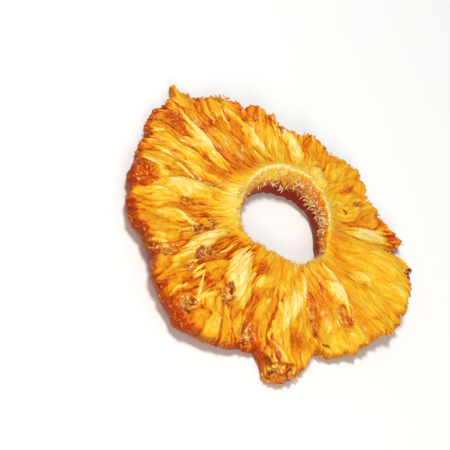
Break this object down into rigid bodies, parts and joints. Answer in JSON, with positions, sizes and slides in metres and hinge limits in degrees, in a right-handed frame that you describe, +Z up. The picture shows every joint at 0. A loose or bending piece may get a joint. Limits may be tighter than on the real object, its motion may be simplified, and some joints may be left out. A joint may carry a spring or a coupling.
{
  "type": "dried pineapple ring",
  "caption": "One dried pineapple ring lying flat: a thin, wavy, fibrous sheet of fruit with a jagged edge and a raised rim round its core hole.",
  "frame": {"origin": "on the surface it lies on, under the middle of the ring's box", "axes": "+Z up through the hole and out of the shown face; +Y towards the side where the core rim stands highest and leans out; the ring lies in X and Y"},
  "size_m": [0.0892, 0.088, 0.01],
  "materials": {
    "dried_flesh": "moist, slightly translucent dried fruit, satin with glossy spots"
  },
  "bodies": {
    "root": {"pineapple_ring": "dried_flesh"}
  },
  "joints": []
}
